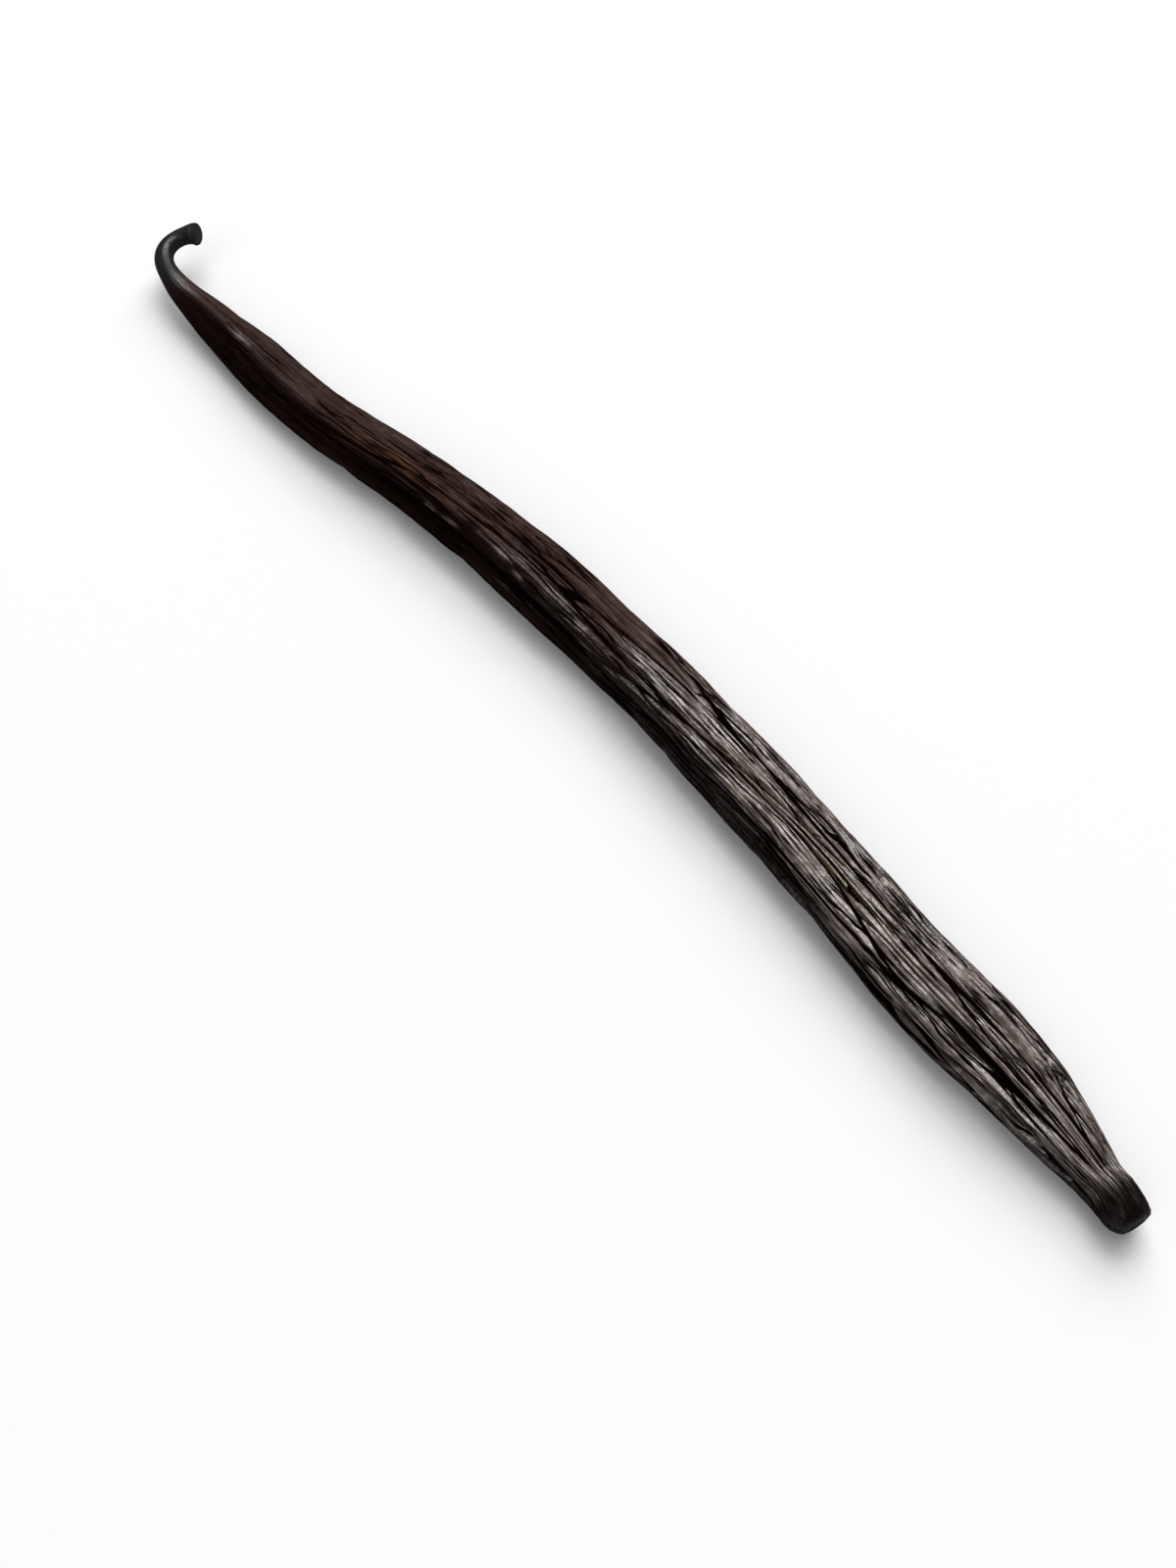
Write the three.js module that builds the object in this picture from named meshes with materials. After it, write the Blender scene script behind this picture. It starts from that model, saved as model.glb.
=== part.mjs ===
// A cured vanilla pod lying on its side: one solid, from the hooked stem to the blunt blossom end.
// Millimetres. +X runs along the pod from stem to blossom end and +Z points up. The origin is under the
// middle of the pod's box, on the surface that the pod lies on.
//
// The pod is a straight unit lathe that is first given its flattened, creased section and then bent along
// the middle line. Places on its skin are given as a distance along the middle line from the cut stem and
// a turn around it in degrees: 0 is the pod's left side seen from the stem, 90 its top, 180 its right
// side and 270 its underside.
import * as THREE from "three";

const POD_LENGTH = 177;
// The pod lies on pressed-flat spots: there its middle line is at this share of its half thickness, and
// between the spots the underside is clear of the surface by a little.
const SEAT = 0.93;
const FLAT_SPOTS = [
  { name: "upper spot", at: 36, length: 9 },
  { name: "middle spot", at: 94, length: 9 },
  { name: "lower spot", at: 150, length: 9 },
];
const ARCH = 0.34;
const STEM_RISE = 4.3;
const STEM_RISE_ENDS = 27;
const STEM_RISE_CURVE = 1.6;
const TIP_RISE = 0.2;
const TIP_RISE_STARTS = 163;

// Width and thickness of the pod from end to end.
const SECTIONS = [
  { name: "cut rim", at: 0, width: 3.7, thickness: 2.6 },
  { name: "behind the cut", at: 1.9, width: 2.3, thickness: 2.2 },
  { name: "hook", at: 4.8, width: 2.4, thickness: 2.2 },
  { name: "stem", at: 9.5, width: 2.7, thickness: 2.4 },
  { name: "neck", at: 13.5, width: 3.6, thickness: 2.9 },
  { name: "shoulder", at: 20, width: 5.3, thickness: 3.9 },
  { name: "top of the body", at: 28, width: 6.7, thickness: 4.8 },
  { name: "upper body", at: 45, width: 7.3, thickness: 5.3 },
  { name: "upper middle", at: 62, width: 8.3, thickness: 5.9 },
  { name: "middle", at: 90, width: 9.1, thickness: 6.2 },
  { name: "lower middle", at: 118, width: 8.9, thickness: 6.3 },
  { name: "lower body", at: 140, width: 9.2, thickness: 6.4 },
  { name: "fullest place", at: 152, width: 9.2, thickness: 6.3 },
  { name: "start of the taper", at: 159, width: 8.5, thickness: 5.9 },
  { name: "taper", at: 165.5, width: 7.0, thickness: 5.2 },
  { name: "waist before the collar", at: 171.6, width: 4.7, thickness: 4.3 },
  { name: "collar", at: 173.8, width: 4.9, thickness: 4.7 },
  { name: "blossom end", at: 177, width: 4.3, thickness: 4.2 },
];

// Turns of the middle line, in degrees seen from above, each spread evenly about its place.
const FIRST_HEADING = -165;
const BENDS = [
  { name: "hook", at: 4.2, over: 11, turn: 155 },
  { name: "stem", at: 12, over: 9, turn: 13 },
  { name: "shoulder", at: 26, over: 20, turn: -3 },
  { name: "upper sway", at: 42, over: 24, turn: 9.5 },
  { name: "middle sway", at: 66, over: 30, turn: -7 },
  { name: "lower middle sway", at: 93, over: 30, turn: -5.5 },
  { name: "lower sway", at: 122, over: 34, turn: -3 },
  { name: "fullest place", at: 145, over: 14, turn: 5 },
  { name: "taper", at: 159, over: 12, turn: -6 },
  { name: "tip", at: 167, over: 10, turn: -1.2 },
];

// The lengthwise crest on top, which wanders round the pod, and the two faces that fall away from it.
const CREST = [
  { at: 24, turn: 112 },
  { at: 58, turn: 124 },
  { at: 86, turn: 118 },
  { at: 98, turn: 141 },
  { at: 112, turn: 138 },
  { at: 124, turn: 128 },
  { at: 138, turn: 136 },
  { at: 160, turn: 128 },
  { at: 174, turn: 114 },
];
const FACES = [
  { name: "crest", turn: 0, spread: 17, rise: 0.42 },
  { name: "broad face", turn: -50, spread: 24, rise: -0.26 },
  { name: "steep face", turn: 34, spread: 15, rise: -0.34 },
];

// Deep folds that run along the pod, each between two places and between two turns.
const FOLDS = [
  { name: "head of the lens valley", from: 138, to: 157, turn: 162, endTurn: 106, spread: 6, depth: 0.6 },
  { name: "lens valley", from: 147, to: 168, turn: 116, endTurn: 121, spread: 6.5, depth: 0.7 },
  { name: "lip below the valley", from: 149, to: 168, turn: 144, endTurn: 136, spread: 7, depth: -0.28 },
  { name: "tuck under the lip", from: 145, to: 168, turn: 182, endTurn: 140, spread: 6, depth: 0.62 },
  { name: "lower flank furrow", from: 120, to: 152, turn: 148, endTurn: 150, spread: 5, depth: 0.4 },
  { name: "flank valley", from: 48, to: 99, turn: 150, endTurn: 154, spread: 10, depth: 0.55 },
  { name: "hollow under the crest", from: 95, to: 119, turn: 157, endTurn: 160, spread: 8, depth: 0.55 },
  { name: "broad face furrow", from: 66, to: 138, turn: 62, endTurn: 74, spread: 5, depth: 0.36 },
  { name: "left edge furrow", from: 30, to: 118, turn: 24, endTurn: 16, spread: 6, depth: 0.4 },
  { name: "upper furrow", from: 17, to: 60, turn: 84, endTurn: 96, spread: 5, depth: 0.32 },
  { name: "upper flank furrow", from: 15, to: 50, turn: 168, endTurn: 150, spread: 6, depth: 0.34 },
  { name: "right edge furrow", from: 34, to: 92, turn: 196, endTurn: 188, spread: 6, depth: 0.4 },
  { name: "lower left furrow", from: 44, to: 160, turn: 338, endTurn: 348, spread: 7, depth: 0.5 },
  { name: "lower right furrow", from: 84, to: 158, turn: 214, endTurn: 206, spread: 7, depth: 0.5 },
  { name: "tip furrow", from: 140, to: 169, turn: 58, endTurn: 80, spread: 6, depth: 0.34 },
];
// Every fold wanders to both sides of its line by some degrees, and fades out towards its two ends.
const FOLD_WANDER = { turn: 3, wave: 38 };
const FOLD_FADE_CURVE = 0.8;

// Wrinkles: long lens-shaped ridges with furrows between them, set like stretched chessboard squares.
const RIDGES_AROUND = 16;
const RIDGE_LENGTH = 60;
const RIDGE_UNEVENNESS = 0.75;
const FURROW_DEPTH = 0.36;
const FURROW_SHARE = 0.7;
const RIDGE_STANDS = 0.4;
const WRINKLES_START = 7;
const WRINKLES_FULL = 30;
const WRINKLES_FADE = 166;
const WRINKLES_END = 180;
// The rows of ridges sway to both sides, in ridges, along the pod and a number of times around it.
const RIDGE_SWAYS = [
  { ridges: 0.55, wave: 120, shift: 0.7, around: 0 },
  { ridges: 0.3, wave: 55, shift: 0, around: 3 },
];
const SCATTER = { column: 127.1, row: 311.7, draw: 74.7, gain: 43758.5453 };

// Swells that make the outline uneven: length of each wave, its share of the section and where it starts.
const SWELLS = [
  { wave: 37, share: 0.018, shift: 0.6 },
  { wave: 17, share: 0.011, shift: 2.1 },
  { wave: 8.3, share: 0.006, shift: 4.4 },
];

// Pinched place below the crest, and the slanting cut: how far the stem falls short on its short side.
const CRIMP = { at: 119.5, length: 2.6, turn: 148, spread: 15, depth: 0.45 };
const SLANT = { turn: 160, reach: 1.8, fades: 6 };

// Rows of faces: how many there are around the pod, and along each stretch of it.
const FACES_AROUND = 60;
const FIRST_ROW = 0.3;
const STRETCHES = [
  { name: "hook and stem", to: 13, rows: 14 },
  { name: "body", to: 158, rows: 59 },
  { name: "taper", to: 175.4, rows: 11 },
];
// The two ends, as shares of the full section and distances from the end of the pod.
const CUT_FACE = [
  { share: 0, inset: 0.55 },
  { share: 0.6, inset: 0.35 },
  { share: 0.93, inset: 0.02 },
];
const BLOSSOM_FACE = [
  { share: 0.98, inset: 1.1 },
  { share: 0.91, inset: 0.5 },
  { share: 0.77, inset: 0.16 },
  { share: 0.5, inset: 0.02 },
  { share: 0, inset: 0.3 },
];
const MIDDLE_LINE_STEP = 0.25;

const SKIN_COLOUR = 0x33211b;

const radians = (degrees) => (degrees * Math.PI) / 180;
const clamp01 = (value) => Math.min(1, Math.max(0, value));

// Goes smoothly from 0 at low to 1 at high.
function ease(low, high, value) {
  const t = clamp01((value - low) / (high - low));
  return t * t * (3 - 2 * t);
}

// How far a place is through waves of a given length, in radians.
const alongWave = (place, wave) => (2 * Math.PI * place) / wave;

// A hill of height 1 and the given spread about 0.
const hill = (offset, spread) => Math.exp(-((offset / spread) ** 2));

// The difference between two turns, from -180 to 180 degrees.
const turnBetween = (a, b) => ((((a - b + 180) % 360) + 360) % 360) - 180;

// One measure of the section at a place along the pod, on a smooth curve through the named sections.
function sectionAt(place, measure) {
  const last = SECTIONS.length - 1;
  const found = SECTIONS.findIndex((section) => section.at > place);
  const i = found === -1 ? last - 1 : Math.max(0, found - 1);
  const slope = (k) => {
    const before = SECTIONS[Math.max(0, k - 1)];
    const after = SECTIONS[Math.min(last, k + 1)];
    return (after[measure] - before[measure]) / (after.at - before.at);
  };
  const here = SECTIONS[i];
  const next = SECTIONS[i + 1];
  const gap = next.at - here.at;
  const t = clamp01((place - here.at) / gap);
  const keep = 2 * t ** 3 - 3 * t ** 2 + 1;
  const leave = t ** 3 - 2 * t ** 2 + t;
  const arrive = t ** 3 - t ** 2;
  return keep * here[measure] + (1 - keep) * next[measure] + gap * (leave * slope(i) + arrive * slope(i + 1));
}

// Height of the middle line above the ground: the pod lies on its flat spots, and both ends lift off.
function heightAt(place) {
  const pressed = Math.max(...FLAT_SPOTS.map((spot) => hill(place - spot.at, spot.length)));
  const resting = (SEAT * sectionAt(place, "thickness")) / 2 + ARCH * (1 - pressed);
  const stem = STEM_RISE * Math.max(0, 1 - place / STEM_RISE_ENDS) ** STEM_RISE_CURVE;
  const tip = TIP_RISE * ease(TIP_RISE_STARTS, POD_LENGTH, place);
  return resting + stem + tip;
}

// Direction of the middle line seen from above, in degrees from +X.
function headingAt(place) {
  return BENDS.reduce(
    (heading, bend) => heading + bend.turn * ease(bend.at - bend.over / 2, bend.at + bend.over / 2, place),
    FIRST_HEADING,
  );
}

// Points of the middle line at even distances, found by walking along its heading.
function walkMiddleLine() {
  const points = [new THREE.Vector2(0, 0)];
  for (let step = 0; step * MIDDLE_LINE_STEP < POD_LENGTH; step += 1) {
    const heading = radians(headingAt((step + 0.5) * MIDDLE_LINE_STEP));
    const stride = new THREE.Vector2(Math.cos(heading), Math.sin(heading)).multiplyScalar(MIDDLE_LINE_STEP);
    points.push(points[step].clone().add(stride));
  }
  return points;
}
const middleLine = walkMiddleLine();

// The middle line's point and its forward, left and up directions at a place along the pod. A place just
// past either end lies on the straight line that goes on from it.
function frameAt(place) {
  const inside = Math.min(POD_LENGTH, Math.max(0, place));
  const index = Math.min(middleLine.length - 2, Math.floor(inside / MIDDLE_LINE_STEP));
  const within = inside / MIDDLE_LINE_STEP - index;
  const flat = middleLine[index].clone().lerp(middleLine[index + 1], within);
  const heading = radians(headingAt(inside));
  const rise = heightAt(inside + MIDDLE_LINE_STEP) - heightAt(inside - MIDDLE_LINE_STEP);
  const climb = rise / (2 * MIDDLE_LINE_STEP);
  const forward = new THREE.Vector3(Math.cos(heading), Math.sin(heading), climb).normalize();
  const left = new THREE.Vector3(-Math.sin(heading), Math.cos(heading), 0);
  const up = new THREE.Vector3().crossVectors(forward, left);
  const point = new THREE.Vector3(flat.x, flat.y, heightAt(inside)).addScaledVector(forward, place - inside);
  return { point, forward, left, up };
}

// A repeatable number from 0 to 1 for one ridge of the wrinkle pattern.
function scatter(column, row, draw) {
  const mixed = Math.sin(column * SCATTER.column + row * SCATTER.row + draw * SCATTER.draw) * SCATTER.gain;
  return mixed - Math.floor(mixed);
}

// How far a spot is from the nearest furrow: 0 in it, rising to about 1 along the back of a ridge.
function ridgeBack(turn, place) {
  const sway = RIDGE_SWAYS.reduce(
    (sum, { ridges, wave, shift, around }) =>
      sum + ridges * Math.sin(alongWave(place, wave) + shift + around * radians(turn)),
    0,
  );
  const across = (turn / 360) * RIDGES_AROUND + sway;
  const along = (2 * place) / RIDGE_LENGTH;
  let nearest = Infinity;
  let second = Infinity;
  for (let column = Math.floor(across) - 2; column <= Math.floor(across) + 3; column += 1) {
    for (let row = Math.floor(along) - 2; row <= Math.floor(along) + 3; row += 1) {
      if ((column + row) % 2 !== 0) continue;
      const wrapped = ((column % RIDGES_AROUND) + RIDGES_AROUND) % RIDGES_AROUND;
      const dx = column + RIDGE_UNEVENNESS * (scatter(wrapped, row, 1) - 0.5) - across;
      const dy = row + RIDGE_UNEVENNESS * (scatter(wrapped, row, 2) - 0.5) - along;
      const distance = Math.hypot(dx, dy);
      second = Math.min(second, Math.max(nearest, distance));
      nearest = Math.min(nearest, distance);
    }
  }
  return second - nearest;
}

// Turn of the crest at a place along the pod.
function crestAt(place) {
  return CREST.slice(1).reduce(
    (turn, next, index) => turn + (next.turn - CREST[index].turn) * ease(CREST[index].at, next.at, place),
    CREST[0].turn,
  );
}

// How far the skin stands out from the plain oval section at a place and a turn.
function reliefAt(place, turn) {
  const full = ease(WRINKLES_START, WRINKLES_FULL, place) * (1 - ease(WRINKLES_FADE, WRINKLES_END, place));
  const crest = crestAt(place);
  const faces = FACES.reduce(
    (sum, face) => sum + face.rise * hill(turnBetween(turn, crest + face.turn), face.spread),
    0,
  );
  const folds = FOLDS.reduce((sum, fold) => {
    const share = clamp01((place - fold.from) / (fold.to - fold.from));
    const wander = FOLD_WANDER.turn * Math.sin(alongWave(place, FOLD_WANDER.wave));
    const middle = fold.turn + (fold.endTurn - fold.turn) * share + wander;
    const depth = fold.depth * Math.sin(Math.PI * share) ** FOLD_FADE_CURVE;
    return sum + depth * hill(turnBetween(turn, middle), fold.spread);
  }, 0);
  const wrinkle = FURROW_DEPTH * (ease(0, FURROW_SHARE, ridgeBack(turn, place)) - 1 + RIDGE_STANDS);
  const crimp = CRIMP.depth * hill(place - CRIMP.at, CRIMP.length)
    * hill(turnBetween(turn, CRIMP.turn), CRIMP.spread);
  return full * (faces + wrinkle) - folds - crimp;
}

// The spot in space of a point of the unit lathe, given by its place, its turn and its share of the section.
function skinPoint(place, turn, share) {
  const swell = SWELLS.reduce(
    (sum, { wave, share: size, shift }) => sum + size * Math.sin(alongWave(place, wave) + shift),
    1,
  );
  const halfWidth = (swell * sectionAt(place, "width")) / 2;
  const halfThickness = sectionAt(place, "thickness") / 2;
  const angle = radians(turn);
  const oval = new THREE.Vector2(halfWidth * Math.cos(angle), halfThickness * Math.sin(angle));
  oval.multiplyScalar(share * (1 + reliefAt(place, turn) / oval.length()));
  const short = (SLANT.reach * share * (1 + Math.cos(radians(turn - SLANT.turn)))) / 2;
  const slant = short * (1 - ease(0, SLANT.fades, place));
  const { point, forward, left, up } = frameAt(place);
  point.addScaledVector(left, oval.x).addScaledVector(up, oval.y).addScaledVector(forward, slant);
  point.z = Math.max(0, point.z);
  return point;
}

// Profile of the unit lathe: x is the share of the section and y the place along the pod.
function unitProfile() {
  const profile = CUT_FACE.map(({ share, inset }) => new THREE.Vector2(share, inset));
  let from = FIRST_ROW;
  for (const { to, rows } of STRETCHES) {
    for (let row = 0; row < rows; row += 1) {
      profile.push(new THREE.Vector2(1, from + ((to - from) * row) / rows));
    }
    from = to;
  }
  profile.push(new THREE.Vector2(1, from));
  BLOSSOM_FACE.forEach(({ share, inset }) => profile.push(new THREE.Vector2(share, POD_LENGTH - inset)));
  return profile;
}

// The pod's skin: every point of the unit lathe goes to its place on the bent and creased pod.
function podGeometry() {
  const profile = unitProfile();
  const geometry = new THREE.LatheGeometry(profile, FACES_AROUND);
  const position = geometry.getAttribute("position");
  for (let index = 0; index < position.count; index += 1) {
    const column = Math.floor(index / profile.length) % FACES_AROUND;
    const { x: share, y: place } = profile[index % profile.length];
    const spot = skinPoint(place, (360 * column) / FACES_AROUND, share);
    position.setXYZ(index, spot.x, spot.y, spot.z);
  }
  geometry.computeBoundingBox();
  const middle = geometry.boundingBox.getCenter(new THREE.Vector3());
  geometry.translate(-middle.x, -middle.y, 0);
  geometry.computeVertexNormals();
  return geometry;
}

const skin = new THREE.MeshStandardMaterial({ color: SKIN_COLOUR, roughness: 0.42, metalness: 0 });
const pod = new THREE.Mesh(podGeometry(), skin);
pod.name = "vanilla_pod";

const group = new THREE.Group();
group.add(pod);

export default group;
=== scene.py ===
"""A cured vanilla pod on a pale floor: its fine creased skin, its finishes, the studio and the camera.

The pod's form is told in millimetres along its middle line. A place is the distance along that line from
the cut stem. A turn goes round it in degrees: 0 is the pod's left side seen from the stem, 90 its top,
180 its right side and 270 its underside. Everything is turned into metres where the mesh is made.
"""

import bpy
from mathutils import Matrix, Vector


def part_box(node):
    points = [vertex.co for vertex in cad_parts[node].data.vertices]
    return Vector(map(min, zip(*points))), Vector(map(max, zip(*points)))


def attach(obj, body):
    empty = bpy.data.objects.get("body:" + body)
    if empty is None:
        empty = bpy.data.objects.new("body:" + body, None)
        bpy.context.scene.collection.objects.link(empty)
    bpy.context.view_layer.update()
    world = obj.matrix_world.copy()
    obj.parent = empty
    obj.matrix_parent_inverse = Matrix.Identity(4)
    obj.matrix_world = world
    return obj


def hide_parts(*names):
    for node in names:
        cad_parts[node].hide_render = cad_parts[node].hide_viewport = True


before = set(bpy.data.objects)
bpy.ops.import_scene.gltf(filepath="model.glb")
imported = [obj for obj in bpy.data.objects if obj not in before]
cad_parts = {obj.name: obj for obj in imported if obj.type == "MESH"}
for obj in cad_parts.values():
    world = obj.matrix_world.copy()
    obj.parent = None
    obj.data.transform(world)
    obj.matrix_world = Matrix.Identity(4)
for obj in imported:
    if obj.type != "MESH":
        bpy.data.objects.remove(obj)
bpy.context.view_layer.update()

import logging
import math
from dataclasses import dataclass
from enum import Enum
from functools import cached_property

import bmesh
import bpy
import numpy as np
from mathutils import Vector

Array = np.ndarray
Node = bpy.types.Node
Socket = bpy.types.NodeSocket
Range = tuple[float, float]
Span = tuple[float, float, float, float]
Colour = tuple[float, float, float, float]

LOG = logging.getLogger("vanilla_pod")
NODE = "vanilla_pod"
BODY = "root"
MM = 0.001
FULL_TURN = 360.0
PLACE_ATTRIBUTE = "pod_place"
GRAIN_WIDTH = 8.8
GRAIN_THICKNESS = 6.2
HASH_STEPS = (127.1, 311.7, 74.7)
HASH_GROWTH = 43758.5453
NOISE_GROWTH = 1.4
NEAR_SQUARES = range(-2, 4)
FOLD_WANDER = 3.0
FOLD_WAVE = 38.0
FOLD_ENDS = 0.8
POLE_SHARE = 0.001


# ----------------------------
# Shared arithmetic
# ----------------------------


def ease(low: float, high: float, value: Array) -> Array:
    """Goes smoothly from 0 where the value is low to 1 where it is high."""
    share = np.clip((value - low) / (high - low), 0.0, 1.0)
    return share * share * (3.0 - 2.0 * share)


def hill(offset: Array, spread: float) -> Array:
    """A hill of height 1 and the given spread about an offset of 0."""
    return np.exp(-((offset / spread) ** 2))


def through_wave(place: Array, wave: float) -> Array:
    """How far a place is through waves of a given length, in radians."""
    return 2.0 * math.pi * place / wave


def scatter(column: Array, row: Array, draw: float) -> Array:
    """A repeatable number from 0 to 1 for each square of a grid; draw picks which of its numbers."""
    mixed = np.sin(column * HASH_STEPS[0] + row * HASH_STEPS[1] + draw * HASH_STEPS[2]) * HASH_GROWTH
    return mixed - np.floor(mixed)


def blended(share: Array) -> Array:
    """Goes from 0 to 1 with a share of a square, with no kink at either end."""
    return share * share * share * (share * (share * 6.0 - 15.0) + 10.0)


def slow_noise(across: Array, along: Array, columns: int, draw: float) -> Array:
    """Smooth noise from about -1 to 1 on a grid that closes on itself.

    Args:
        across: The spot's place across the grid, in squares.
        along: The spot's place along the grid, in squares.
        columns: How many squares there are before the grid repeats.
        draw: Which noise is wanted.

    Returns:
        One number for each spot.
    """
    column, row = np.floor(across), np.floor(along)
    right, ahead = across - column, along - row
    total = np.zeros_like(across)
    for step_right in (0, 1):
        for step_ahead in (0, 1):
            angle = 2.0 * math.pi * scatter((column + step_right) % columns, row + step_ahead, draw)
            slope = np.cos(angle) * (right - step_right) + np.sin(angle) * (ahead - step_ahead)
            weight_right = blended(right) if step_right else 1.0 - blended(right)
            weight_ahead = blended(ahead) if step_ahead else 1.0 - blended(ahead)
            total += slope * weight_right * weight_ahead
    return total * NOISE_GROWTH


# ----------------------------
# The pod's form, in millimetres and degrees
# ----------------------------


@dataclass(frozen=True)
class Spots:
    """Spots on the skin, told by their places along the pod and their turns round it."""

    place: Array
    turn: Array

    def past(self, turn: Array | float) -> Array:
        """How far round each spot is past a turn, from -180 to 180 degrees."""
        return (self.turn - turn + FULL_TURN / 2) % FULL_TURN - FULL_TURN / 2


@dataclass(frozen=True)
class Unevenness:
    """Smooth noise on the skin: its squares round the pod, their length along it and its draw."""

    squares: int
    length: float
    draw: float

    def at(self, spots: Spots) -> Array:
        """The noise at each spot, from about -1 to 1."""
        across = spots.turn / FULL_TURN * self.squares
        return slow_noise(across, spots.place / self.length, self.squares, self.draw)


@dataclass(frozen=True)
class Section:
    """Width and thickness of the pod at one place."""

    name: str
    at: float
    width: float
    thickness: float


@dataclass(frozen=True)
class Bend:
    """A turn of the middle line, spread evenly about its place."""

    name: str
    at: float
    over: float
    turn: float


@dataclass(frozen=True)
class Face:
    """A lengthwise face or ridge, told by its turn from the crest."""

    name: str
    turn: float
    spread: float
    rise: float


@dataclass(frozen=True)
class Fold:
    """A deep fold that runs along the pod between two places and two turns."""

    name: str
    start: float
    end: float
    turn: float
    end_turn: float
    spread: float
    depth: float

    def strength(self, spots: Spots) -> Array:
        """Works out how much of the fold each spot feels.

        Args:
            spots: The spots to judge.

        Returns:
            1 in the fold's bottom at its deepest place, and 0 away from it.
        """
        share = np.clip((spots.place - self.start) / (self.end - self.start), 0.0, 1.0)
        wander = FOLD_WANDER * np.sin(through_wave(spots.place, FOLD_WAVE))
        middle = self.turn + (self.end_turn - self.turn) * share + wander
        return np.sin(math.pi * share) ** FOLD_ENDS * hill(spots.past(middle), self.spread)


@dataclass(frozen=True)
class Patch:
    """A soft-edged patch of skin, told by its middle and its reach along and round the pod."""

    name: str
    at: float
    turn: float
    length: float
    spread: float

    def strength(self, spots: Spots) -> Array:
        """How much of the patch each spot feels, from 0 to 1."""
        return hill(spots.place - self.at, self.length) * hill(spots.past(self.turn), self.spread)


def covered(patches: tuple[Patch, ...], spots: Spots) -> Array:
    """How much of some patches each spot feels together."""
    return sum(patch.strength(spots) for patch in patches)


@dataclass(frozen=True)
class Furrows:
    """Furrows side by side round the pod: their number, depth and width, and how far the rest stands up."""

    around: int
    depth: float
    share: float
    stands: float

    def lift(self, back: Array) -> Array:
        """The lift in millimetres at each distance from a furrow, 0 in it and about 1 between two."""
        return self.depth * (ease(0.0, self.share, back) - 1.0 + self.stands)


@dataclass(frozen=True)
class Wrinkles(Furrows):
    """Long lens-shaped ridges with furrows between them, set like stretched chessboard squares.

    Each sway is its reach in squares, its wave in millimetres, its shift and its waves round the pod.
    """

    length: float
    unevenness: float
    sways: tuple[tuple[float, float, float, int], ...] = ((0.55, 120.0, 0.7, 0), (0.3, 55.0, 0.0, 3))

    def ridge_back(self, spots: Spots) -> Array:
        """Finds how far each spot is from the nearest furrow.

        Args:
            spots: The spots to judge.

        Returns:
            0 in a furrow, rising to about 1 on the back of a ridge.
        """
        across = spots.turn / FULL_TURN * self.around
        for reach, wave, shift, waves_round in self.sways:
            round_pod = waves_round * np.radians(spots.turn)
            across += reach * np.sin(through_wave(spots.place, wave) + shift + round_pod)
        along = 2.0 * spots.place / self.length
        nearest = np.full_like(along, np.inf)
        second = np.full_like(along, np.inf)
        for step_across in NEAR_SQUARES:
            for step_along in NEAR_SQUARES:
                column = np.floor(across) + step_across
                row = np.floor(along) + step_along
                wrapped = column % self.around
                dx = column + self.unevenness * (scatter(wrapped, row, 1) - 0.5) - across
                dy = row + self.unevenness * (scatter(wrapped, row, 2) - 0.5) - along
                distance = np.where((column + row) % 2 == 0, np.hypot(dx, dy), np.inf)
                second = np.minimum(second, np.maximum(nearest, distance))
                nearest = np.minimum(nearest, distance)
        return second - nearest


@dataclass(frozen=True)
class Grooves(Furrows):
    """Thin furrows that run side by side along the pod, wander, pinch together and fade out.

    Each wander is its squares round the pod, their length in millimetres and its reach in grooves.
    """

    draw: float
    worn: float
    worn_length: float = 9.0
    worn_from: Range = (-0.05, 0.35)
    wander: tuple[tuple[int, float, float], ...] = ((5, 42.0, 1.5), (12, 13.0, 0.7), (26, 4.5, 0.2))

    def relief(self, spots: Spots) -> tuple[Array, Array, Array]:
        """Works out how far the grooves lift or sink the skin.

        Args:
            spots: The spots to judge.

        Returns:
            The lift in millimetres, how far the grooves wander off a straight course, counted in grooves,
            and how worn away the nearest groove is.
        """
        warp = np.zeros_like(spots.place)
        for squares, length, reach in self.wander:
            warp += reach * Unevenness(squares, length, self.draw + squares).at(spots)
        across = spots.turn / FULL_TURN * self.around + warp
        groove = np.round(across)
        noise = slow_noise(groove, spots.place / self.worn_length, self.around, self.draw)
        worn = self.worn * ease(*self.worn_from, noise)
        return self.lift(2.0 * np.abs(across - groove) + worn), warp, worn


@dataclass(frozen=True)
class Relief:
    """How far the skin stands out in millimetres, roughly and finely, and the marks its finish reads."""

    coarse: Array
    fine: Array
    marks: dict[str, Array]


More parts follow.
